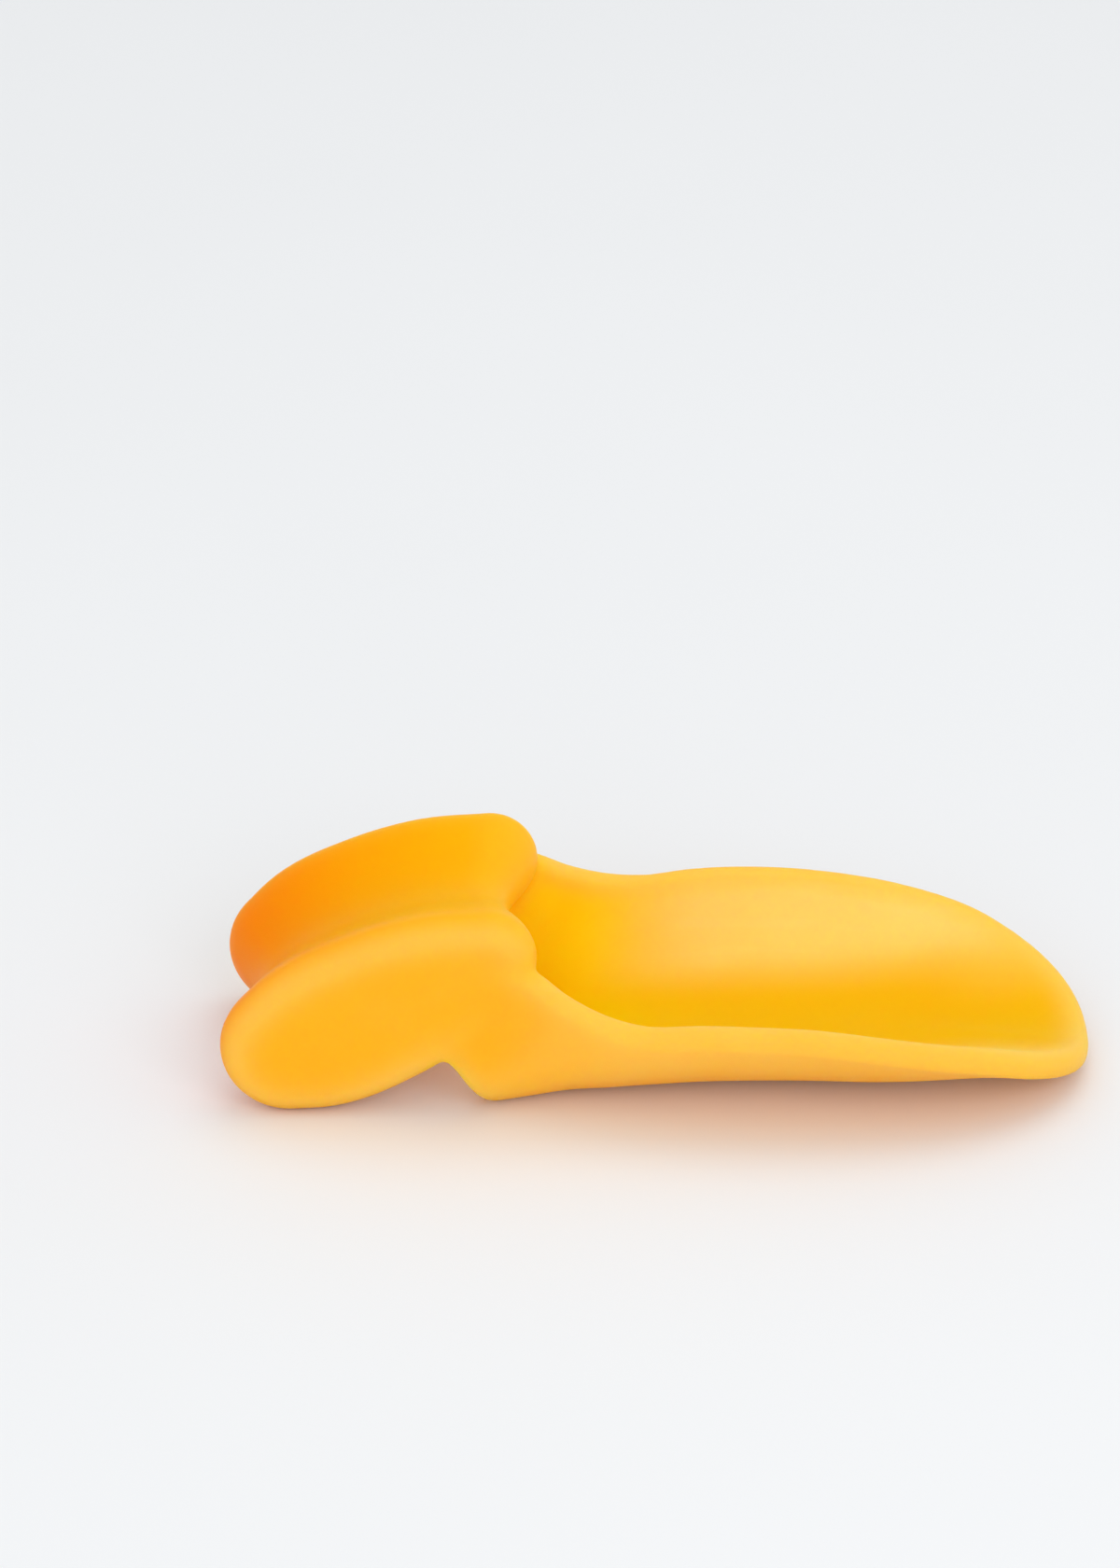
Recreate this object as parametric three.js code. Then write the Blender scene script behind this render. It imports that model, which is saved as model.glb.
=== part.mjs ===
// Bunion guard: one soft silicone moulding that lies on the floor with its cup upward.
// A toe spacer shaped like a flattened spool sits at the minus X end. Two side straps join it
// to an oval cupped shield, and the big toe goes through the loop that they leave open.
// Lengths are millimetres, angles degrees, X lengthwise, Y across, Z up, floor at Z = 0.

import * as THREE from "three";

// Shield sizes
const SHIELD_LENGTH = 60.7;
const SHIELD_WIDTH = 39;
const RIM_HEIGHT = 12.8;
const FLOOR_THICKNESS = 3.4;
const RIM_THICKNESS = 2.8;
const TIP_START_SHARE = 0.57;
const TIP_FULLNESS = 2.35;
const FLAT_TRIM = 0.15;
const LOOP_EDGE_BOW = 0.02;
const LOOP_EDGE_RAKE = 4;
const TIP_CURL_SHARE = 0.12;
const LEAST_CURL = 0.35;

// Toe spacer sizes
const SPACER_WIDTH = 27.6;
const SPACER_DEPTH = 17.4;
const SPACER_SPAN = 22.9;
const SPACER_TILT = 26.6;
const SPACER_OVERHANG = 3.2;
const SPACER_HEIGHT = 22.4;
const SPACER_EDGE_RADIUS = 2.7;
const WAIST_SHARE = 0.36;
const WAIST_SHORTENING = 0.12;
const WAIST_FULLNESS = 1.5;
const SPACER_DISCS = 32;

// Fillet where the spacer runs into the straps
const BLEND = 0.9;

// Surface net: facet size, probe step for slopes, evening out, and grid starts as cell shares
const FACET = 1.42;
const PROBE = 0.02;
const LEAST_STEEPNESS = 0.5;
const SETTLE_STEPS = 2;
const RELAX_ROUNDS = 6;
const RELAX_PULL = 0.5;
const GRID_SHIFTS = [0.5, 0.35, 0.65, 0.2, 0.8];

// Shield sections from inside the straps to the tip.
// along is a share of the length, half and flat of the half width, rim and lift of the rim height.
const SHIELD_SECTIONS = [
  { along: -0.3, half: 0.66, rim: 0.9, flat: 0.54, lift: 0 },
  { along: -0.12, half: 0.665, rim: 1.1, flat: 0.53, lift: 0 },
  { along: -0.02, half: 0.69, rim: 1.3, flat: 0.49, lift: 0 },
  { along: 0.036, half: 0.735, rim: 1.21, flat: 0.39, lift: 0 },
  { along: 0.1, half: 0.82, rim: 1.03, flat: 0.26, lift: 0 },
  { along: 0.174, half: 0.895, rim: 0.895, flat: 0.18, lift: 0 },
  { along: 0.233, half: 0.937, rim: 0.85, flat: 0.11, lift: 0.005 },
  { along: 0.326, half: 0.975, rim: 0.88, flat: 0.05, lift: 0.02 },
  { along: 0.416, half: 0.997, rim: 0.885, flat: 0.03, lift: 0.03 },
  { along: 0.511, half: 1, rim: 0.862, flat: 0.02, lift: 0.03 },
  { along: 0.63, half: 1, rim: 0.785, flat: 0.02, lift: 0.025 },
  { along: 0.72, half: 1, rim: 0.705, flat: 0.02, lift: 0.015 },
  { along: 0.81, half: 1, rim: 0.615, flat: 0.02, lift: 0.005 },
  { along: 0.87, half: 1, rim: 0.535, flat: 0.02, lift: 0 },
  { along: 0.93, half: 1, rim: 0.465, flat: 0.02, lift: 0 },
  { along: 1, half: 1, rim: 0.4, flat: 0.02, lift: 0 },
];

// Egg outline of the spacer from its low toe end to its high end at the loop.
// along is a share of the span, drop and radius are shares of half the depth.
const SPACER_OUTLINE = [
  { along: 0, drop: 0, radius: 0.815 },
  { along: 0.16, drop: 0.01, radius: 0.965 },
  { along: 0.42, drop: 0.02, radius: 0.99 },
  { along: 0.69, drop: 0.02, radius: 0.885 },
  { along: 1, drop: 0, radius: 0.575 },
];

const radians = THREE.MathUtils.degToRad;
const clamp = THREE.MathUtils.clamp;

// Slope of a table column at one row
function slopeAt(rows, key, i) {
  const before = rows[Math.max(i - 1, 0)];
  const here = rows[i];
  const after = rows[Math.min(i + 1, rows.length - 1)];
  if (before === here) {
    return (after[key] - here[key]) / (after.along - here.along);
  }
  if (after === here) {
    return (here[key] - before[key]) / (here.along - before.along);
  }
  const left = here.along - before.along;
  const right = after.along - here.along;
  const leftSlope = (here[key] - before[key]) / left;
  const rightSlope = (after[key] - here[key]) / right;
  return (leftSlope * right + rightSlope * left) / (left + right);
}

// Table with the slopes of its columns worked out once
function prepareTable(rows, keys) {
  return {
    along: rows.map((row) => row.along),
    values: keys.map((key) => rows.map((row) => row[key])),
    slopes: keys.map((key) => rows.map((row, i) => slopeAt(rows, key, i))),
  };
}

const SECTION_TABLE = prepareTable(SHIELD_SECTIONS, ["half", "rim", "flat", "lift"]);
const OUTLINE_TABLE = prepareTable(SPACER_OUTLINE, ["drop", "radius"]);

// Smooth value of every column of a table at one place along it
function readTable(table, place) {
  const { along, values, slopes } = table;
  const held = clamp(place, along[0], along[along.length - 1]);
  let i = 0;
  while (i < along.length - 2 && held >= along[i + 1]) {
    i += 1;
  }
  const step = along[i + 1] - along[i];
  const t = (held - along[i]) / step;
  const endWeight = t * t * (3 - 2 * t);
  const startSlope = t * (1 - t) * (1 - t) * step;
  const endSlope = t * t * (t - 1) * step;
  return values.map((column, key) => (
    (1 - endWeight) * column[i] + endWeight * column[i + 1]
    + startSlope * slopes[key][i] + endSlope * slopes[key][i + 1]
  ));
}

// Shield skin at a point: distance to the middle of the wall in the section at x, how much of
// that distance is upward, and the share of the way out to the rim.
// Past the tip start, out turns round the tip, where the bowl runs down to its low end.
function shieldSkin(x, y, z) {
  const [halfShare, rimShare, flatShare, liftShare] = readTable(SECTION_TABLE, x / SHIELD_LENGTH);
  const fullHalf = (SHIELD_WIDTH - RIM_THICKNESS) / 2;
  const rimOut = halfShare * fullHalf;
  const flatOut = flatShare * fullHalf;
  const base = liftShare * RIM_HEIGHT + FLOOR_THICKNESS / 2 - FLAT_TRIM;
  const tipStart = TIP_START_SHARE * SHIELD_LENGTH;
  const tipRun = SHIELD_LENGTH - RIM_THICKNESS / 2 - tipStart;
  const past = Math.max(x - tipStart, 0) * rimOut / tipRun;
  const side = Math.abs(y);
  const out = past > 0
    ? (side ** TIP_FULLNESS + past ** TIP_FULLNESS) ** (1 / TIP_FULLNESS)
    : side;
  const aside = past > 0 ? side / out : 1;
  const curl = TIP_CURL_SHARE + (1 - TIP_CURL_SHARE) * aside * aside * (3 - 2 * aside);

  const reach = Math.max(rimOut - flatOut, LEAST_CURL);
  const rise = Math.max((rimShare * RIM_HEIGHT - base) * curl, LEAST_CURL);
  const shallow = rise <= reach;
  const sweep = shallow ? 2 * Math.atan2(rise, reach) : Math.PI / 2;
  const radius = shallow ? (reach ** 2 + rise ** 2) / (2 * rise) : reach;
  const centre = base + radius;
  const turn = Math.atan2(out - flatOut, centre - z);
  const wallFoot = centre - radius * Math.cos(sweep);
  const wallTop = wallFoot + Math.max(rise - reach, 0);
  const onWall = clamp(z, wallFoot, wallTop);
  const nearest = [[rimOut, onWall], [Math.min(out, flatOut), base]];
  if (turn >= 0 && turn <= sweep) {
    nearest.push([flatOut + radius * Math.sin(turn), centre - radius * Math.cos(turn)]);
  }
  let distance = Infinity;
  let upward = 0;
  for (const [nearOut, nearUp] of nearest) {
    const here = Math.hypot(out - nearOut, z - nearUp);
    if (here < distance) {
      distance = here;
      upward = (z - nearUp) / Math.max(here, PROBE);
    }
  }
  return { distance, upward, share: clamp(out / rimOut, 0, 1) };
}

// Shield and straps as one bowl, open where the loop passes
function shield(x, y, z) {
  const here = shieldSkin(x, y, z);
  const distanceAt = (stepX, stepY) => shieldSkin(x + stepX, y + stepY, z).distance;
  const slopeX = (distanceAt(PROBE, 0) - distanceAt(-PROBE, 0)) / (2 * PROBE);
  const slopeY = (distanceAt(0, PROBE) - distanceAt(0, -PROBE)) / (2 * PROBE);
  const steepness = Math.max(Math.hypot(slopeX, slopeY, here.upward), LEAST_STEEPNESS);
  const skin = here.distance / steepness;
  const halfWall = (FLOOR_THICKNESS + (RIM_THICKNESS - FLOOR_THICKNESS) * here.share ** 2) / 2;
  const bow = LOOP_EDGE_BOW * (y * y + LOOP_EDGE_RAKE * z * z);
  const bowSlope = Math.hypot(1, 2 * LOOP_EDGE_BOW * y, 2 * LOOP_EDGE_BOW * LOOP_EDGE_RAKE * z);
  const past = Math.max((-bow - x) / bowSlope + halfWall, 0);
  return Math.hypot(past, skin) - halfWall;
}

// Discs whose hull is the egg outline of the spacer, seen from the side
function spacerDiscs() {
  const discs = [];
  const tilt = radians(SPACER_TILT);
  const half = SPACER_DEPTH / 2;
  const endRadius = SPACER_OUTLINE[SPACER_OUTLINE.length - 1].radius * half;
  for (let i = 0; i <= SPACER_DISCS; i += 1) {
    const along = i / SPACER_DISCS;
    const [dropShare, radiusShare] = readTable(OUTLINE_TABLE, along);
    const back = SPACER_SPAN * (1 - along);
    const drop = dropShare * half;
    discs.push({
      x: SPACER_OVERHANG - endRadius - back * Math.cos(tilt) + drop * Math.sin(tilt),
      z: SPACER_HEIGHT - endRadius - back * Math.sin(tilt) - drop * Math.cos(tilt),
      radius: radiusShare * half,
    });
  }
  return discs;
}

const DISCS = spacerDiscs();
const SPACER_MIDDLE = {
  x: (DISCS[0].x + DISCS[SPACER_DISCS].x) / 2,
  z: (DISCS[0].z + DISCS[SPACER_DISCS].z) / 2,
};

// Toe spacer: egg outline with a hollowed waist between two rounded cheeks
function spacer(x, y, z) {
  const face = SPACER_WIDTH / 2;
  const cheek = face - SPACER_EDGE_RADIUS;
  const toCheek = clamp(Math.abs(y) / cheek, 0, 1);
  const waist = Math.cos(toCheek * Math.PI / 2) ** WAIST_FULLNESS;
  const kept = 1 - WAIST_SHARE * waist;
  const drawn = WAIST_SHORTENING * waist;
  let outline = Infinity;
  for (const disc of DISCS) {
    const discX = disc.x + (SPACER_MIDDLE.x - disc.x) * drawn;
    const discZ = disc.z + (SPACER_MIDDLE.z - disc.z) * drawn;
    outline = Math.min(outline, Math.hypot(x - discX, z - discZ) - disc.radius * kept);
  }
  const side = outline + SPACER_EDGE_RADIUS;
  const end = Math.abs(y) - face + SPACER_EDGE_RADIUS;
  const corner = Math.hypot(Math.max(side, 0), Math.max(end, 0));
  return Math.min(Math.max(side, end), 0) + corner - SPACER_EDGE_RADIUS;
}

// Whole guard: below zero inside the silicone, above zero outside
function guard(x, y, z) {
  const a = spacer(x, y, z);
  const b = shield(x, y, z);
  const near = Math.max(BLEND - Math.abs(a - b), 0) / BLEND;
  const joined = Math.min(a, b) - near * near * BLEND / 4;
  return Math.max(joined, -z);
}

// Direction in which the guard's field grows
function growth(x, y, z) {
  return [
    (guard(x + PROBE, y, z) - guard(x - PROBE, y, z)) / (2 * PROBE),
    (guard(x, y + PROBE, z) - guard(x, y - PROBE, z)) / (2 * PROBE),
    (guard(x, y, z + PROBE) - guard(x, y, z - PROBE)) / (2 * PROBE),
  ];
}

// Moves a point onto the surface in a few steps
function settle(point) {
  let [x, y, z] = point;
  for (let i = 0; i < SETTLE_STEPS; i += 1) {
    const value = guard(x, y, z);
    const [gx, gy, gz] = growth(x, y, z);
    const scale = value / Math.max(gx * gx + gy * gy + gz * gz, LEAST_STEEPNESS ** 2);
    x -= scale * gx;
    y -= scale * gy;
    z -= scale * gz;
  }
  return [x, y, z];
}

// Box of grid points round the guard, with a row of them on the middle plane
function makeGrid(shift) {
  const lowX = Math.min(...DISCS.map((disc) => disc.x - disc.radius));
  const halfY = Math.max(SHIELD_WIDTH, SPACER_WIDTH) / 2;
  const highestRim = Math.max(...SHIELD_SECTIONS.map((row) => row.rim)) * RIM_HEIGHT;
  const topZ = Math.max(SPACER_HEIGHT, highestRim + RIM_THICKNESS);
  const rows = Math.ceil(halfY / FACET) + 2;
  return {
    low: [lowX - (2 + shift) * FACET, -rows * FACET, -(1 + shift) * FACET],
    count: [
      Math.ceil((SHIELD_LENGTH - lowX) / FACET) + 5,
      2 * rows + 1,
      Math.ceil(topZ / FACET) + 4,
    ],
  };
}

// One grid cell's twelve edges, each as its axis and its start corner
const CELL_EDGES = [];
for (let axis = 0; axis < 3; axis += 1) {
  for (let id = 0; id < 4; id += 1) {
    const start = [0, 0, 0];
    start[(axis + 1) % 3] = id & 1;
    start[(axis + 2) % 3] = id >> 1;
    CELL_EDGES.push({ axis, start });
  }
}

// One grid cell's six faces, each as its ring of edges and its ring of corners
const CELL_FACES = [];
for (let axis = 0; axis < 3; axis += 1) {
  for (let side = 0; side < 2; side += 1) {
    const first = ((axis + 1) % 3) * 4 + 2 * side;
    const second = ((axis + 2) % 3) * 4 + side;
    const corners = [[0, 0], [1, 0], [1, 1], [0, 1]].map(([a, b]) => {
      const corner = [0, 0, 0];
      corner[axis] = side;
      corner[(axis + 1) % 3] = a;
      corner[(axis + 2) % 3] = b;
      return corner;
    });
    CELL_FACES.push({ edges: [first, second + 2, first + 1, second], corners });
  }
}

// Groups a cell's crossed edges, so that each sheet of the surface in the cell is one group
function groupEdges(crossed, signAt, centreInside) {
  const group = CELL_EDGES.map((edge, id) => id);
  const join = (a, b) => {
    const from = group[b];
    const to = group[a];
    group.forEach((value, id) => {
      group[id] = value === from ? to : value;
    });
  };
  for (const { edges, corners } of CELL_FACES) {
    const cut = edges.filter((id) => crossed[id]);
    if (cut.length === 2) {
      join(cut[0], cut[1]);
    }
    if (cut.length === 4) {
      const firstJoined = signAt(corners[0]) === centreInside(corners);
      join(edges[0], firstJoined ? edges[1] : edges[3]);
      join(edges[2], firstJoined ? edges[3] : edges[1]);
    }
  }
  return group;
}

// Closed net of four-sided faces: a point for each sheet of the surface in each grid cell
function netSurface(shift) {
  const { low, count } = makeGrid(shift);
  const [nx, ny, nz] = count;
  const at = (i, j, k) => (i * ny + j) * nz + k;
  const place = (cell, offset) => low.map(
    (start, axis) => start + (cell[axis] + offset[axis]) * FACET,
  );
  const values = new Float64Array(nx * ny * nz);
  for (let i = 0; i < nx; i += 1) {
    for (let j = 0; j < ny; j += 1) {
      for (let k = 0; k < nz; k += 1) {
        values[at(i, j, k)] = guard(...place([i, j, k], [0, 0, 0]));
      }
    }
  }
  const points = [];
  const edgePoint = new Int32Array(nx * ny * nz * 12);
  for (let i = 0; i < nx - 1; i += 1) {
    for (let j = 0; j < ny - 1; j += 1) {
      for (let k = 0; k < nz - 1; k += 1) {
        const cell = [i, j, k];
        const valueAt = (corner) => values[at(i + corner[0], j + corner[1], k + corner[2])];
        const insideAt = (corner) => valueAt(corner) < 0;
        const ends = CELL_EDGES.map(({ axis, start }) => {
          const end = [...start];
          end[axis] = 1;
          return end;
        });
        const crossed = CELL_EDGES.map(({ start }, id) => insideAt(start) !== insideAt(ends[id]));
        if (!crossed.includes(true)) {
          continue;
        }
        const centreInside = (corners) => {
          const middle = [0, 1, 2].map((axis) => (corners[0][axis] + corners[2][axis]) / 2);
          return guard(...place(cell, middle)) < 0;
        };
        const group = groupEdges(crossed, insideAt, centreInside);
        const sums = new Map();
        CELL_EDGES.forEach(({ axis, start }, id) => {
          if (!crossed[id]) {
            return;
          }
          const from = valueAt(start);
          const cut = [...start];
          cut[axis] = from / (from - valueAt(ends[id]));
          const fresh = { total: [0, 0, 0], count: 0, point: points.length + sums.size };
          const sum = sums.get(group[id]) ?? fresh;
          sum.total = sum.total.map((value, n) => value + cut[n]);
          sum.count += 1;
          sums.set(group[id], sum);
          edgePoint[at(i, j, k) * 12 + id] = sum.point;
        });
        for (const sum of sums.values()) {
          points.push(place(cell, sum.total.map((value) => value / sum.count)));
        }
      }
    }
  }
  const faces = [];
  for (let i = 1; i < nx - 1; i += 1) {
    for (let j = 1; j < ny - 1; j += 1) {
      for (let k = 1; k < nz - 1; k += 1) {
        const inside = values[at(i, j, k)] < 0;
        for (let axis = 0; axis < 3; axis += 1) {
          const next = [i, j, k];
          next[axis] += 1;
          if (inside === values[at(...next)] < 0) {
            continue;
          }
          const ring = [[1, 1], [0, 1], [0, 0], [1, 0]].map(([a, b]) => {
            const cell = [i, j, k];
            cell[(axis + 1) % 3] -= a;
            cell[(axis + 2) % 3] -= b;
            return edgePoint[at(...cell) * 12 + axis * 4 + a + 2 * b];
          });
          faces.push(inside ? ring : ring.reverse());
        }
      }
    }
  }
  return { points, faces };
}

// True when each side of each face is shared by exactly two faces
function isClosed(faces) {
  const sides = new Map();
  for (const ring of faces) {
    ring.forEach((from, n) => {
      const to = ring[(n + 1) % 4];
      const key = `${Math.min(from, to)} ${Math.max(from, to)}`;
      sides.set(key, (sides.get(key) ?? 0) + 1);
    });
  }
  return [...sides.values()].every((uses) => uses === 2);
}

// First closed net among a few grids that differ by part of a cell
function closedNet() {
  let net = null;
  for (const shift of GRID_SHIFTS) {
    net = netSurface(shift);
    if (isClosed(net.faces)) {
      return net;
    }
  }
  return net;
}

// Evens out the net: each point goes towards the middle of its neighbours, then to the surface
function relax(points, faces) {
  const neighbours = points.map(() => new Set());
  for (const ring of faces) {
    for (let i = 0; i < 4; i += 1) {
      neighbours[ring[i]].add(ring[(i + 1) % 4]);
      neighbours[ring[(i + 1) % 4]].add(ring[i]);
    }
  }
  let now = points.map(settle);
  for (let round = 0; round < RELAX_ROUNDS; round += 1) {
    now = now.map((point, index) => {
      const middle = [0, 0, 0];
      for (const other of neighbours[index]) {
        for (let axis = 0; axis < 3; axis += 1) {
          middle[axis] += now[other][axis] / neighbours[index].size;
        }
      }
      return settle(point.map((value, axis) => value + (middle[axis] - value) * RELAX_PULL));
    });
  }
  return now.map(([x, y, z]) => [x, y, Math.abs(z) < PROBE ? 0 : z]);
}

// Triangles of the net, cut along the shorter diagonal of each face
function buildGeometry() {
  const net = closedNet();
  const points = relax(net.points, net.faces);
  const gap = (a, b) => Math.hypot(a[0] - b[0], a[1] - b[1], a[2] - b[2]);
  const index = [];
  for (const [a, b, c, d] of net.faces) {
    if (gap(points[a], points[c]) <= gap(points[b], points[d])) {
      index.push(a, b, c, a, c, d);
    } else {
      index.push(a, b, d, b, c, d);
    }
  }
  const geometry = new THREE.BufferGeometry();
  geometry.setAttribute("position", new THREE.Float32BufferAttribute(points.flat(), 3));
  geometry.setIndex(index);
  geometry.computeBoundingBox();
  const box = geometry.boundingBox;
  geometry.translate(-(box.min.x + box.max.x) / 2, 0, -box.min.z);
  geometry.computeVertexNormals();
  return geometry;
}

const silicone = new THREE.MeshStandardMaterial({ color: 0xfbb020, roughness: 0.45 });
const body = new THREE.Mesh(buildGeometry(), silicone);
body.name = "guard";
const part = new THREE.Group();
part.name = "bunion_guard";
part.add(body);

export default part;
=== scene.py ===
# Bunion guard: soft silicone moulding lying on a pale floor, cup upward.
import math

import bpy
import numpy as np
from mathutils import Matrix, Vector


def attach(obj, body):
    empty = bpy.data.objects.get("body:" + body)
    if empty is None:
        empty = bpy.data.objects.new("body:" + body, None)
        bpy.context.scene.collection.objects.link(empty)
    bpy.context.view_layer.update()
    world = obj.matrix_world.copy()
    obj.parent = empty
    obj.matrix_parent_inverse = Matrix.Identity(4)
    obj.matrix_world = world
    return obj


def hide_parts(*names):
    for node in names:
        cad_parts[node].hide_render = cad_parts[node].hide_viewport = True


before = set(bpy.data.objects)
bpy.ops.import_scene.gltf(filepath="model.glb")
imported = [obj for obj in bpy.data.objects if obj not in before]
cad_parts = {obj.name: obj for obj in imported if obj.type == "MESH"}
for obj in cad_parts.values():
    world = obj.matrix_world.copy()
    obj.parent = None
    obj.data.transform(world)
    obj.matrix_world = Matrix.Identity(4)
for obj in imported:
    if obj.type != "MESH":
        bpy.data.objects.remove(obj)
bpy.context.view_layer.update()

MM = 0.001

# Guard sizes in millimetres, the same as in the part's source
SHIELD_LENGTH = 60.7
SHIELD_WIDTH = 39.0
RIM_HEIGHT = 12.8
FLOOR_THICKNESS = 3.4
RIM_THICKNESS = 2.8
TIP_START_SHARE = 0.57
TIP_FULLNESS = 2.35
FLAT_TRIM = 0.15
LOOP_EDGE_BOW = 0.02
LOOP_EDGE_RAKE = 4
TIP_CURL_SHARE = 0.12
LEAST_CURL = 0.35
SPACER_WIDTH = 27.6
SPACER_DEPTH = 17.4
SPACER_SPAN = 22.9
SPACER_TILT = 26.6
SPACER_OVERHANG = 3.2
SPACER_HEIGHT = 22.4
SPACER_EDGE_RADIUS = 2.7
WAIST_SHARE = 0.36
WAIST_SHORTENING = 0.12
WAIST_FULLNESS = 1.5
SPACER_DISCS = 32
BLEND = 0.9

# Surface net: cell size in millimetres, and empty cells round the guard
CELL = 0.5
NET_MARGIN = 2.5
PROBE = 0.02
LEAST_STEEPNESS = 0.5
SETTLE_STEPS = 2
RELAX_ROUNDS = 6
RELAX_PULL = 0.5

# Shield sections: share of the length, then half width, rim height, flat and lift as shares
SHIELD_SECTIONS = np.array([
    (-0.3, 0.66, 0.9, 0.54, 0),
    (-0.12, 0.665, 1.1, 0.53, 0),
    (-0.02, 0.69, 1.3, 0.49, 0),
    (0.036, 0.735, 1.21, 0.39, 0),
    (0.1, 0.82, 1.03, 0.26, 0),
    (0.174, 0.895, 0.895, 0.18, 0),
    (0.233, 0.937, 0.85, 0.11, 0.005),
    (0.326, 0.975, 0.88, 0.05, 0.02),
    (0.416, 0.997, 0.885, 0.03, 0.03),
    (0.511, 1, 0.862, 0.02, 0.03),
    (0.63, 1, 0.785, 0.02, 0.025),
    (0.72, 1, 0.705, 0.02, 0.015),
    (0.81, 1, 0.615, 0.02, 0.005),
    (0.87, 1, 0.535, 0.02, 0),
    (0.93, 1, 0.465, 0.02, 0),
    (1, 1, 0.4, 0.02, 0),
])

# Egg outline of the spacer: share of the span, then drop and radius as shares of half the depth
SPACER_OUTLINE = np.array([
    (0, 0, 0.815),
    (0.16, 0.01, 0.965),
    (0.42, 0.02, 0.99),
    (0.69, 0.02, 0.885),
    (1, 0, 0.575),
])


def slopes(along, column):
    """Slope of a table column at each of its rows."""
    step = np.diff(along)
    steep = np.diff(column) / step
    inner = (steep[:-1] * step[1:] + steep[1:] * step[:-1]) / (step[:-1] + step[1:])
    return np.concatenate([steep[:1], inner, steep[-1:]])


def read_table(table, place):
    """Smooth value of every column of a table at each place along it."""
    along = table[:, 0]
    held = np.clip(place, along[0], along[-1])
    i = np.clip(np.searchsorted(along, held, side="right") - 1, 0, len(along) - 2)
    step = along[i + 1] - along[i]
    t = (held - along[i]) / step
    end_weight = t * t * (3 - 2 * t)
    start_slope = t * (1 - t) ** 2 * step
    end_slope = t * t * (t - 1) * step
    out = []
    for column in table.T[1:]:
        slope = slopes(along, column)
        value = (1 - end_weight) * column[i] + end_weight * column[i + 1]
        out.append(value + start_slope * slope[i] + end_slope * slope[i + 1])
    return out


def shield_skin(x, y, z):
    """Distance to the middle of the shield's wall, its upward part, and the share of the way out."""
    half_share, rim_share, flat_share, lift_share = read_table(SHIELD_SECTIONS, x / SHIELD_LENGTH)
    full_half = (SHIELD_WIDTH - RIM_THICKNESS) / 2
    rim_out = half_share * full_half
    flat_out = flat_share * full_half
    base = lift_share * RIM_HEIGHT + FLOOR_THICKNESS / 2 - FLAT_TRIM
    tip_start = TIP_START_SHARE * SHIELD_LENGTH
    tip_run = SHIELD_LENGTH - RIM_THICKNESS / 2 - tip_start
    past = np.maximum(x - tip_start, 0) * rim_out / tip_run
    side = np.abs(y)
    turned = (side ** TIP_FULLNESS + past ** TIP_FULLNESS) ** (1 / TIP_FULLNESS)
    out = np.where(past > 0, turned, side)
    aside = np.where(past > 0, side / np.maximum(out, PROBE), 1)
    curl = TIP_CURL_SHARE + (1 - TIP_CURL_SHARE) * aside * aside * (3 - 2 * aside)

    reach = np.maximum(rim_out - flat_out, LEAST_CURL)
    rise = np.maximum((rim_share * RIM_HEIGHT - base) * curl, LEAST_CURL)
    shallow = rise <= reach
    sweep = np.where(shallow, 2 * np.arctan2(rise, reach), np.pi / 2)
    radius = np.where(shallow, (reach ** 2 + rise ** 2) / (2 * rise), reach)
    centre = base + radius
    turn = np.arctan2(out - flat_out, centre - z)
    wall_foot = centre - radius * np.cos(sweep)
    wall_top = wall_foot + np.maximum(rise - reach, 0)
    near_up = np.clip(z, wall_foot, wall_top)
    distance = np.hypot(out - rim_out, z - near_up)
    on_floor = np.hypot(np.maximum(out - flat_out, 0), z - base)
    near_up = np.where(on_floor < distance, base, near_up)
    distance = np.minimum(on_floor, distance)
    arc_out = flat_out + radius * np.sin(turn)
    arc_up = centre - radius * np.cos(turn)
    on_arc = np.hypot(out - arc_out, z - arc_up)
    nearer = (turn >= 0) & (turn <= sweep) & (on_arc < distance)
    near_up = np.where(nearer, arc_up, near_up)
    distance = np.where(nearer, on_arc, distance)
    upward = (z - near_up) / np.maximum(distance, PROBE)
    return distance, upward, np.clip(out / rim_out, 0, 1)


def shield(x, y, z):
    """Shield and straps as one bowl, open where the loop passes."""
    distance, upward, share = shield_skin(x, y, z)
    ahead = shield_skin(x + PROBE, y, z)[0] - shield_skin(x - PROBE, y, z)[0]
    across = shield_skin(x, y + PROBE, z)[0] - shield_skin(x, y - PROBE, z)[0]
    slope = np.sqrt((ahead ** 2 + across ** 2) / (2 * PROBE) ** 2 + upward ** 2)
    skin = distance / np.maximum(slope, LEAST_STEEPNESS)
    half_wall = (FLOOR_THICKNESS + (RIM_THICKNESS - FLOOR_THICKNESS) * share ** 2) / 2
    bow = LOOP_EDGE_BOW * (y * y + LOOP_EDGE_RAKE * z * z)
    bow_y = 2 * LOOP_EDGE_BOW * y
    bow_z = 2 * LOOP_EDGE_BOW * LOOP_EDGE_RAKE * z
    past = np.maximum((-bow - x) / np.sqrt(1 + bow_y ** 2 + bow_z ** 2) + half_wall, 0)
    return np.hypot(past, skin) - half_wall


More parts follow.
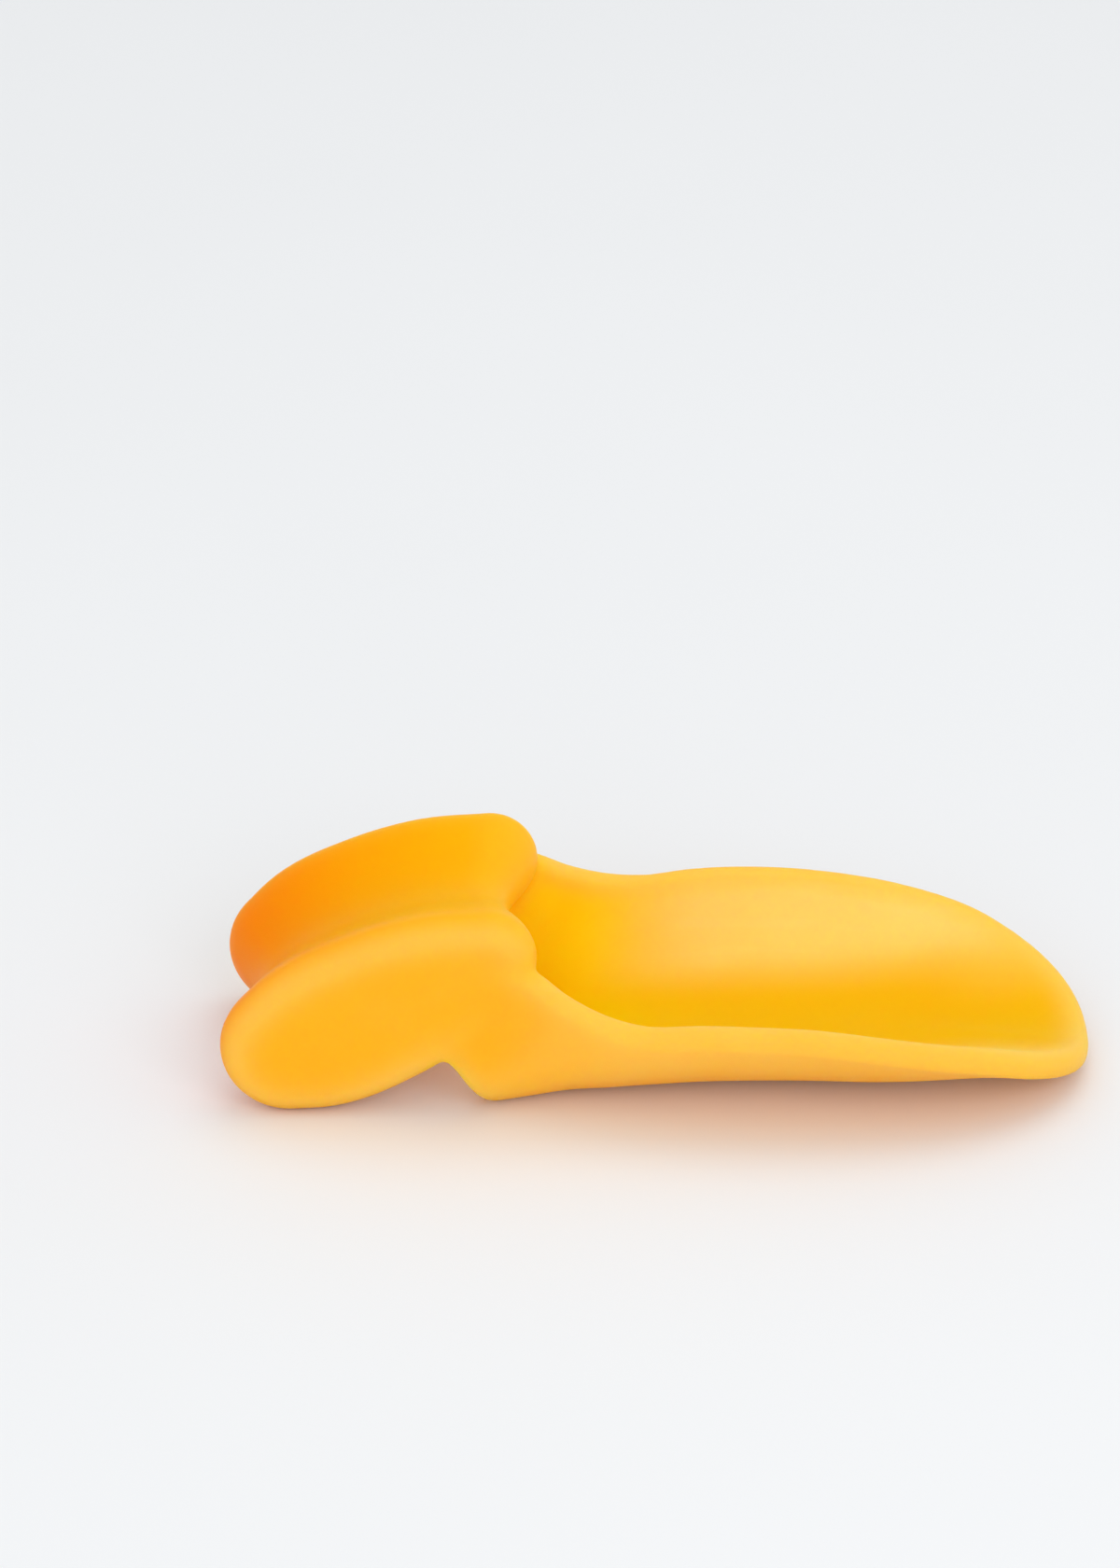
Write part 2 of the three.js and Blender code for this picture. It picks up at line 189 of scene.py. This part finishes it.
def spacer_discs():
    """Centres and radii of the discs whose hull is the spacer's outline, seen from the side."""
    along = np.linspace(0, 1, SPACER_DISCS + 1)
    drop_share, radius_share = read_table(SPACER_OUTLINE, along)
    half = SPACER_DEPTH / 2
    end_radius = SPACER_OUTLINE[-1, 2] * half
    tilt = math.radians(SPACER_TILT)
    back = SPACER_SPAN * (1 - along)
    drop = drop_share * half
    disc_x = SPACER_OVERHANG - end_radius - back * math.cos(tilt) + drop * math.sin(tilt)
    disc_z = SPACER_HEIGHT - end_radius - back * math.sin(tilt) - drop * math.cos(tilt)
    return disc_x, disc_z, radius_share * half


DISC_X, DISC_Z, DISC_RADIUS = spacer_discs()
SPACER_MIDDLE_X = (DISC_X[0] + DISC_X[-1]) / 2
SPACER_MIDDLE_Z = (DISC_Z[0] + DISC_Z[-1]) / 2


def waist_share(y):
    """How far into the waist each place across the spacer is, from 0 at a cheek to 1."""
    cheek = SPACER_WIDTH / 2 - SPACER_EDGE_RADIUS
    to_cheek = np.clip(np.abs(y) / cheek, 0, 1)
    return np.clip(np.cos(to_cheek * np.pi / 2), 0, 1) ** WAIST_FULLNESS


def spacer(x, y, z):
    """Toe spacer: egg outline with a hollowed waist between two rounded cheeks."""
    face = SPACER_WIDTH / 2
    waist = waist_share(y)
    kept = 1 - WAIST_SHARE * waist
    drawn = WAIST_SHORTENING * waist
    outline = np.full(np.shape(x), np.inf)
    for disc_x, disc_z, radius in zip(DISC_X, DISC_Z, DISC_RADIUS):
        centre_x = disc_x + (SPACER_MIDDLE_X - disc_x) * drawn
        centre_z = disc_z + (SPACER_MIDDLE_Z - disc_z) * drawn
        outline = np.minimum(outline, np.hypot(x - centre_x, z - centre_z) - radius * kept)
    side = outline + SPACER_EDGE_RADIUS
    end = np.abs(y) - face + SPACER_EDGE_RADIUS
    corner = np.hypot(np.maximum(side, 0), np.maximum(end, 0))
    return np.minimum(np.maximum(side, end), 0) + corner - SPACER_EDGE_RADIUS


def guard(x, y, z):
    """Whole guard: below zero inside the silicone, above zero outside."""
    a = spacer(x, y, z)
    b = shield(x, y, z)
    near = np.maximum(BLEND - np.abs(a - b), 0) / BLEND
    return np.maximum(np.minimum(a, b) - near * near * BLEND / 4, -z)


def growth(points):
    """Direction in which the guard's field grows, at each point."""
    steps = np.eye(3) * PROBE
    ways = [guard(*(points + step).T) - guard(*(points - step).T) for step in steps]
    return np.stack(ways, axis=1) / (2 * PROBE)


def settle(points):
    """Moves points onto the surface."""
    for _ in range(SETTLE_STEPS):
        value = guard(*points.T)
        way = growth(points)
        steepness = np.maximum((way ** 2).sum(axis=1), LEAST_STEEPNESS ** 2)
        points = points - (value / steepness)[:, None] * way
    return points


def surface_net():
    """Closed net of four-sided faces, a point in each grid cell that the surface crosses."""
    low = np.array([(DISC_X - DISC_RADIUS).min(), -SHIELD_WIDTH / 2, 0]) - NET_MARGIN * CELL
    high = np.array([SHIELD_LENGTH, SHIELD_WIDTH / 2, SPACER_HEIGHT]) + NET_MARGIN * CELL
    count = np.ceil((high - low) / CELL).astype(int) + 1
    axes = [low[i] + CELL * np.arange(count[i]) for i in range(3)]
    values = guard(*np.meshgrid(*axes, indexing="ij"))
    cells = count - 1
    total = np.zeros((*cells, 3))
    crossings = np.zeros(cells)

    def corner_values(corner):
        window = tuple(slice(c, c + n) for c, n in zip(corner, cells))
        return values[window]

    for corner in np.ndindex(2, 2, 2):
        for axis in range(3):
            if corner[axis]:
                continue
            far = tuple(c + (i == axis) for i, c in enumerate(corner))
            start, end = corner_values(corner), corner_values(far)
            crossed = (start < 0) != (end < 0)
            part = np.where(crossed, start / np.where(crossed, start - end, 1), 0)
            for i in range(3):
                total[..., i] += crossed * (corner[i] + (part if i == axis else 0))
            crossings += crossed
    active = crossings > 0
    index = np.full(cells, -1)
    index[active] = np.arange(active.sum())
    points = low + (np.argwhere(active) + total[active] / crossings[active][:, None]) * CELL
    faces = []
    inside = values < 0
    for axis in range(3):
        u, v = np.eye(3, dtype=int)[(axis + 1) % 3], np.eye(3, dtype=int)[(axis + 2) % 3]
        first = inside.take(range(count[axis] - 1), axis)
        second = inside.take(range(1, count[axis]), axis)
        for leaving in (True, False):
            at = np.argwhere((first & ~second) if leaving else (~first & second))
            ring = np.stack([index[tuple((at - d).T)] for d in (u + v, v, 0 * u, u)], axis=1)
            faces.append(ring if leaving else ring[:, ::-1])
    return points, np.concatenate(faces)


class Neighbours:
    """The points that each point of a net shares a face's side with."""

    def __init__(self, faces, count):
        ends = np.concatenate([faces[:, [i, (i + 1) % 4]] for i in range(4)])
        self.near, self.far = np.concatenate([ends, ends[:, ::-1]]).T
        self.uses = np.bincount(self.near, minlength=count)

    def mean(self, values):
        return np.bincount(self.near, values[self.far], len(self.uses)) / self.uses

    def soften(self, values, rounds):
        for _ in range(rounds):
            values = (values + self.mean(values)) / 2
        return values


def relax(points, neighbours):
    """Evens out the net on the surface."""
    points = settle(points)
    for _ in range(RELAX_ROUNDS):
        middle = np.stack([neighbours.mean(points[:, i]) for i in range(3)], axis=1)
        points = settle(points + (middle - points) * RELAX_PULL)
    return points


# Shape facts that the silicone's colour follows, much of it as painted glow, painted highlight and
# painted shade: reaches and edges in millimetres, the rest shares
OPEN_REACHES = (1.5, 3.0, 6.0)
THICK_REACHES = (1.0, 2.0, 3.5, 5.5)
BEND_STEP = 0.8
GROOVE_EDGE = (10.4, 13.5)
JOIN_EDGE = (-1.0, 1.0)
STRAP_END = (-3.0, 14.0)
LINING_END = (7.0, 22.0)
WALL_UPWARD = (0.85, 0.975)
STRAP_UPWARD = (0.1, 0.6)
ROUND_EDGE = (0.1, 0.6)
LINING_EDGE = (0.25, 0.85)
UNDERSIDE_EDGE = (0.55, 0.95)
INNER_UPWARD = (-0.1, 0.5)
# Painted glow and highlight: share of glow kept on outer faces, glow taken off lamp-lit rim tops,
# and weights of thin-wall glow and edge highlight
OUTER_SHARE = 0.4
RIM_LOSS = 0.45
THIN_GLOW_WEIGHT = 1.15
EDGE_HIGHLIGHT_WEIGHT = 0.42
SOFTEN_ROUNDS = 24


def smooth_step(value, low, high):
    """0 up to the low value, 1 from the high one, smooth between them."""
    t = np.clip((value - low) / (high - low), 0, 1)
    return t * t * (3 - 2 * t)


def openness(points, normals):
    """How open the space in front of each point is, from 0 in a crevice to 1."""
    shares = [np.clip(guard(*(points + normals * d).T) / d, 0, 1) for d in OPEN_REACHES]
    return np.mean(shares, axis=0)


def thinness(points, normals):
    """How thin the silicone behind each point is, from 0 in the thick spacer to 1."""
    shares = [np.clip(-guard(*(points - normals * d).T) / d, 0, 1) for d in THICK_REACHES]
    return 1 - np.mean(shares, axis=0)


def roundness(points):
    """How sharply the surface is rounded outward at each point, 1 at the cheeks' edges."""
    steps = np.eye(3) * BEND_STEP
    around = sum(guard(*(points + step).T) + guard(*(points - step).T) for step in steps)
    bend = (around - 6 * guard(*points.T)) / BEND_STEP ** 2
    return np.clip(bend * SPACER_EDGE_RADIUS, 0, 1)


def on_spacer(points):
    """1 on the spacer, 0 on the shield."""
    x, y, z = points.T
    return smooth_step(shield(x, y, z) - spacer(x, y, z), *JOIN_EDGE)


def groove(points):
    """1 in the spacer's groove between its cheeks, 0 on the rest of the guard."""
    return on_spacer(points) * (1 - smooth_step(np.abs(points[:, 1]), *GROOVE_EDGE))


def past_strap(points, end=STRAP_END):
    """0 at the straps, 1 where the shield's walls are free of them."""
    return smooth_step(points[:, 0], *end)


def inward(points, normals):
    """How far each face turns to the guard's middle plane, 1 on the inner side of a wall."""
    return np.maximum(-np.sign(points[:, 1]) * normals[:, 1], 0)


def bowl(points, normals):
    """1 on the floor of the cup and in its corner at the straps, 0 on its walls and outside."""
    free = past_strap(points, LINING_END)
    floor_share = smooth_step(normals[:, 2], *WALL_UPWARD)
    strap_share = smooth_step(normals[:, 2] + inward(points, normals), *STRAP_UPWARD)
    plain = 1 - smooth_step(roundness(points), *ROUND_EDGE)
    return (1 - on_spacer(points)) * plain * (floor_share * free + strap_share * (1 - free))


def lining(points, normals):
    """1 on the inner side of the straps, which light shines through, 0 on the cup's floor."""
    return smooth_step(inward(points, normals), *LINING_EDGE) * (1 - past_strap(points, LINING_END))


def underside(normals):
    """1 where the guard faces the floor, 0 on its sides and top; the painted shade goes where it is
    1.
    """
    return smooth_step(-normals[:, 2], *UNDERSIDE_EDGE)


def glow_and_highlight(points, normals):
    """Painted glow and highlight: 1 at thin edges of the shield, a painted glow for light shining
    through them, less on other rounded edges as a painted highlight, 0 on thick faces.
    """
    spacer_share = on_spacer(points)
    free = past_strap(points)
    upward = smooth_step(normals[:, 2], *INNER_UPWARD)
    bend = roundness(points)
    # Painted glow on thin walls, stronger on faces turned up, weaker on outer faces
    thin = thinness(points, normals) * free * (OUTER_SHARE + (1 - OUTER_SHARE) * upward)
    # Less painted glow on the rounded tops of rims, which the lamps already light more
    thin *= 1 - RIM_LOSS * bend * smooth_step(normals[:, 2], *STRAP_UPWARD)
    # Painted highlight on rounded edges: on the cheeks away from the groove, and on the shield at
    # the straps
    edge = bend * (spacer_share * (1 - groove(points)) + (1 - spacer_share) * (1 - free))
    return np.clip(thin * THIN_GLOW_WEIGHT + edge * EDGE_HIGHLIGHT_WEIGHT, 0, 1)


def make_guard():
    """The guard's fine surface as one smooth mesh, with its shape facts as attributes."""
    points, faces = surface_net()
    neighbours = Neighbours(faces, len(points))
    points = relax(points, neighbours)
    points[np.abs(points[:, 2]) < PROBE, 2] = 0
    normals = growth(points)
    normals /= np.linalg.norm(normals, axis=1)[:, None]
    middle = ((DISC_X - DISC_RADIUS).min() + SHIELD_LENGTH) / 2
    mesh = bpy.data.meshes.new("guard_skin")
    placed = (points - (middle, 0, 0)) * MM
    mesh.from_pydata(placed.tolist(), [], faces.tolist())
    mesh.polygons.foreach_set("use_smooth", np.ones(len(faces), dtype=bool))
    for name, values in (
        ("openness", openness(points, normals)),
        ("glow_and_highlight", glow_and_highlight(points, normals)),
        ("groove", groove(points)),
        ("bowl", bowl(points, normals)),
        ("lining", lining(points, normals)),
        ("underside", underside(normals)),
    ):
        attribute = mesh.attributes.new(name, "FLOAT", "POINT")
        soft = neighbours.soften(values, SOFTEN_ROUNDS)
        attribute.data.foreach_set("value", soft.astype(np.float32))
    mesh.update()
    obj = bpy.data.objects.new("guard_skin", mesh)
    bpy.context.scene.collection.objects.link(obj)
    return obj


def srgb(red, green, blue):
    """Linear colour with alpha from an sRGB colour of 0 to 255."""
    shares = [c / 255 for c in (red, green, blue)]
    return [c / 12.92 if c <= 0.04045 else ((c + 0.055) / 1.055) ** 2.4 for c in shares] + [1]


class Shader:
    """Node tree of one material, built a node at a time."""

    def __init__(self, name):
        self.material = bpy.data.materials.new(name)
        self.material.use_nodes = True
        self.nodes = self.material.node_tree.nodes
        self.links = self.material.node_tree.links
        self.surface = self.nodes["Principled BSDF"]

    def node(self, kind, inputs=None, **settings):
        made = self.nodes.new(kind)
        for key, value in settings.items():
            setattr(made, key, value)
        for key, value in (inputs or {}).items():
            self.put(made.inputs[key], value)
        return made

    def put(self, socket, value):
        if isinstance(value, bpy.types.NodeSocket):
            self.links.new(value, socket)
        else:
            socket.default_value = value

    def ramp(self, factor, stops):
        made = self.node("ShaderNodeValToRGB", {"Fac": factor})
        elements = made.color_ramp.elements
        while len(elements) < len(stops):
            elements.new(1)
        for element, (position, colour) in zip(elements, stops):
            element.position = position
            element.color = srgb(*colour)
        return made.outputs["Color"]

    def mix(self, factor, first, second):
        made = self.node("ShaderNodeMix", data_type="RGBA")
        self.put(made.inputs["Factor"], factor)
        self.put(made.inputs["A"], first)
        self.put(made.inputs["B"], second)
        return made.outputs["Result"]

    def noise(self, scale, detail, roughness, stretch=(1, 1, 1)):
        coords = self.node("ShaderNodeTexCoord").outputs["Object"]
        placed = self.node("ShaderNodeMapping", {"Vector": coords, "Scale": stretch})
        values = {
            "Vector": placed.outputs["Vector"],
            "Scale": scale,
            "Detail": detail,
            "Roughness": roughness,
        }
        return self.node("ShaderNodeTexNoise", values).outputs["Fac"]

    def times(self, first, second):
        made = self.node("ShaderNodeMath", operation="MULTIPLY")
        self.put(made.inputs[0], first)
        self.put(made.inputs[1], second)
        return made.outputs["Value"]

    def fit(self, value, low, high, to_low=0.0, to_high=1.0):
        values = {
            "Value": value,
            "From Min": low,
            "From Max": high,
            "To Min": to_low,
            "To Max": to_high,
        }
        return self.node("ShaderNodeMapRange", values).outputs["Result"]

    def bump(self, height, distance, strength, normal=None):
        values = {"Height": height, "Distance": distance, "Strength": strength}
        if normal is not None:
            values["Normal"] = normal
        return self.node("ShaderNodeBump", values).outputs["Normal"]

    def attribute(self, name):
        return self.node("ShaderNodeAttribute", attribute_name=name).outputs["Fac"]

    def set_constants(self, values):
        for name, value in values.items():
            self.surface.inputs[name].default_value = value


# Silicone tones: place along each ramp and its colour
# Body tones: the thick faces' own amber at 0, paler tones towards 1 painted as glow on thin walls
# and highlight on rounded edges
BODY_AND_GLOW_TONES = [
    (0.0, (255, 183, 36)),
    (0.35, (255, 192, 76)),
    (0.7, (255, 211, 102)),
    (1.0, (255, 226, 160)),
]
BOWL_TONES = [
    (0.0, (255, 202, 0)),
    (0.5, (255, 196, 0)),
    (1.0, (255, 183, 0)),
]
# Painted shade in the spacer's groove: deep orange, deepest at the toe end, which faces away from
# the lamps
GROOVE_SHADE_TONES = [
    (0.0, (255, 128, 0)),
    (0.4, (255, 164, 0)),
    (0.75, (255, 178, 0)),
    (1.0, (255, 186, 40)),
]
LINING_TONE = srgb(255, 216, 14)
# Painted glow for crevices
CREVICE_GLOW_TONE = srgb(255, 228, 30)
# Painted shade for faces turned to the floor
UNDERSIDE_SHADE_TONE = srgb(255, 164, 24)
CLOUD_TONE = srgb(255, 146, 0)
STREAK_TONE = srgb(255, 226, 140)

# Where the tones run: places along the guard in metres, then ranges and shares of the shape facts
BOWL_ALONG = (-0.016, 0.006)
GROOVE_SHADE_ALONG = (-0.044, -0.012)
CREVICE_GLOW_OPENNESS = (0.9, 0.45)
CREVICE_GLOW_SHARE = 0.85
UNDERSIDE_SHADE_SHARE = 0.75
STREAK_GLOW = (0.45, 0.8)
STREAK_BOWL = (0.0, 0.4)

# Noise as scale, detail and roughness, the range of it that is used, and what it becomes
CLOUD_NOISE = (55, 3, 0.55)
CLOUD_RANGE = (0.35, 0.65)
CLOUD_SHARE = 0.1
STREAK_NOISE = (1, 2, 0.55)
STREAK_STRETCH = (70, 480, 480)
STREAK_RANGE = (0.5, 0.75)
STREAK_SHARE = 0.22
GLOSS_NOISE = (130, 4, 0.6)
GLOSS_RANGE = (0.3, 0.7)
GLOSS_ROUGHNESS = (0.36, 0.46)

# Bump as height in metres and strength
GRAIN_NOISE = (5200, 2, 0.6)
GRAIN_BUMP = (0.00003, 0.35)
WAVE_NOISE = (240, 2, 0.5)
WAVE_BUMP = (0.00012, 0.3)
STREAK_BUMP = (0.00008, 0.4)

SILICONE_CONSTANTS = {
    "Subsurface Weight": 0.8,
    "Subsurface Radius": (1.0, 0.45, 0.08),
    "Subsurface Scale": 0.005,
    "IOR": 1.41,
    "Specular IOR Level": 0.07,
    "Specular Tint": srgb(255, 196, 60),
}


def silicone():
    """Translucent amber silicone: painted glow on thin walls, painted highlight on rounded edges,
    painted shade as deep orange in the groove and on undersides, painted glow in crevices, amber cup
    floor.
    """
    shader = Shader("silicone")
    # Body colour with painted glow on thin walls and painted highlight on rounded edges
    body = shader.ramp(shader.attribute("glow_and_highlight"), BODY_AND_GLOW_TONES)
    along = shader.node("ShaderNodeSeparateXYZ", {
        "Vector": shader.node("ShaderNodeTexCoord").outputs["Object"],
    }).outputs["X"]
    bowl_tone = shader.ramp(shader.fit(along, *BOWL_ALONG), BOWL_TONES)
    lit = shader.mix(shader.attribute("lining"), bowl_tone, LINING_TONE)
    hollow = shader.mix(shader.attribute("bowl"), body, lit)
    # Painted shade in the groove, a deeper orange towards the toe end
    groove_shade_tone = shader.ramp(shader.fit(along, *GROOVE_SHADE_ALONG), GROOVE_SHADE_TONES)
    groove_shaded = shader.mix(shader.attribute("groove"), hollow, groove_shade_tone)
    # Painted glow in crevices: pale yellow where the space in front is closed in, standing for light
    # that fills them
    openness_fact = shader.attribute("openness")
    crevice_glow = shader.fit(openness_fact, *CREVICE_GLOW_OPENNESS, to_high=CREVICE_GLOW_SHARE)
    deep = shader.mix(crevice_glow, groove_shaded, CREVICE_GLOW_TONE)
    # Painted shade: a deeper orange where the guard faces the floor
    below = shader.fit(shader.attribute("underside"), 0, 1, to_high=UNDERSIDE_SHADE_SHARE)
    shaded = shader.mix(below, deep, UNDERSIDE_SHADE_TONE)
    cloud = shader.fit(shader.noise(*CLOUD_NOISE), *CLOUD_RANGE, to_high=CLOUD_SHARE)
    clouded = shader.mix(cloud, shaded, CLOUD_TONE)

    # Pale streaks stretched along the thin walls, kept off the cup's floor, with matching ridges in
    # the bump
    streak_noise = shader.noise(*STREAK_NOISE, stretch=STREAK_STRETCH)
    on_thin = shader.fit(shader.attribute("glow_and_highlight"), *STREAK_GLOW)
    off_floor = shader.fit(shader.attribute("bowl"), *STREAK_BOWL, to_low=1, to_high=0)
    lines = shader.fit(streak_noise, *STREAK_RANGE, to_high=STREAK_SHARE)
    streaks = shader.times(lines, shader.times(on_thin, off_floor))
    tinted = shader.mix(streaks, clouded, STREAK_TONE)
    shader.put(shader.surface.inputs["Base Color"], tinted)

    patches = shader.fit(shader.noise(*GLOSS_NOISE), *GLOSS_RANGE, *GLOSS_ROUGHNESS)
    shader.put(shader.surface.inputs["Roughness"], patches)
    grain = shader.bump(shader.noise(*GRAIN_NOISE), *GRAIN_BUMP)
    waves = shader.bump(shader.noise(*WAVE_NOISE), *WAVE_BUMP, grain)
    ridges = shader.bump(streaks, *STREAK_BUMP, waves)
    shader.put(shader.surface.inputs["Normal"], ridges)
    shader.set_constants(SILICONE_CONSTANTS)
    return shader.material


# Studio floor: half its side in metres, its noise and the two tones that it runs between
FLOOR_HALF = 3.0
FLOOR_NOISE = (9, 2, 0.5)
FLOOR_TONES = (srgb(235, 237, 239), srgb(238, 240, 242))
FLOOR_CONSTANTS = {"Roughness": 0.85, "Specular IOR Level": 0.1}


def pale_floor():
    """Matt pale studio floor."""
    shader = Shader("studio_floor")
    tone = shader.mix(shader.noise(*FLOOR_NOISE), *FLOOR_TONES)
    shader.put(shader.surface.inputs["Base Color"], tone)
    shader.set_constants(FLOOR_CONSTANTS)
    return shader.material


guard_skin = make_guard()
guard_skin.data.materials.append(silicone())
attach(guard_skin, "root")
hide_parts("guard")

floor_mesh = bpy.data.meshes.new("floor")
floor_mesh.from_pydata(
    [(-FLOOR_HALF, -FLOOR_HALF, 0), (FLOOR_HALF, -FLOOR_HALF, 0),
     (FLOOR_HALF, FLOOR_HALF, 0), (-FLOOR_HALF, FLOOR_HALF, 0)],
    [], [(0, 1, 2, 3)],
)
floor = bpy.data.objects.new("floor", floor_mesh)
floor.data.materials.append(pale_floor())
bpy.context.scene.collection.objects.link(floor)

# Soft studio light: place, aim, width in metres and power in watts
LAMPS = {
    "key": ((0.30, -0.62, 0.42), (0.0, 0.0, 0.0), 0.45, 1.15),
    "front": ((-0.12, -0.80, 0.22), (0.0, 0.0, 0.01), 0.70, 1.1),
    "top": ((0.10, 0.18, 0.72), (0.0, 0.0, 0.01), 0.60, 0.82),
}
WORLD_COLOUR = (1, 1, 1, 1)
WORLD_STRENGTH = 0.81


def aim(obj, target):
    """Turns a lamp to face a point."""
    way = Vector(target) - obj.location
    obj.rotation_euler = way.to_track_quat("-Z", "Y").to_euler()


for lamp_name, (place, target, width, power) in LAMPS.items():
    lamp = bpy.data.lights.new(lamp_name, "AREA")
    lamp.shape = "DISK"
    lamp.size = width
    lamp.energy = power
    lamp_object = bpy.data.objects.new(lamp_name, lamp)
    lamp_object.location = place
    bpy.context.scene.collection.objects.link(lamp_object)
    aim(lamp_object, target)

world = bpy.data.worlds.new("studio")
world.use_nodes = True
backdrop = world.node_tree.nodes["Background"]
backdrop.inputs["Color"].default_value = WORLD_COLOUR
backdrop.inputs["Strength"].default_value = WORLD_STRENGTH
bpy.context.scene.world = world
bpy.context.scene.view_settings.view_transform = "Standard"

# Camera at the photograph's angle, the frame 1200 by 1680: place in metres, degrees down
FRAME_HEIGHT = 1680
FOCAL_PIXELS = 7163
SENSOR_LONG_SIDE = 36
CAMERA_PLACE = (-0.0101, -0.6151, 0.3353)
CAMERA_DOWN = 26.28
CAMERA_NEAR = 0.01
CAMERA_FAR = 20
camera_data = bpy.data.cameras.new("camera")
camera_data.sensor_width = SENSOR_LONG_SIDE
camera_data.lens = FOCAL_PIXELS / FRAME_HEIGHT * SENSOR_LONG_SIDE
camera_data.clip_start = CAMERA_NEAR
camera_data.clip_end = CAMERA_FAR
camera = bpy.data.objects.new("camera", camera_data)
camera.location = CAMERA_PLACE
camera.rotation_euler = (math.radians(90 - CAMERA_DOWN), 0, 0)
bpy.context.scene.collection.objects.link(camera)
bpy.context.scene.camera = camera
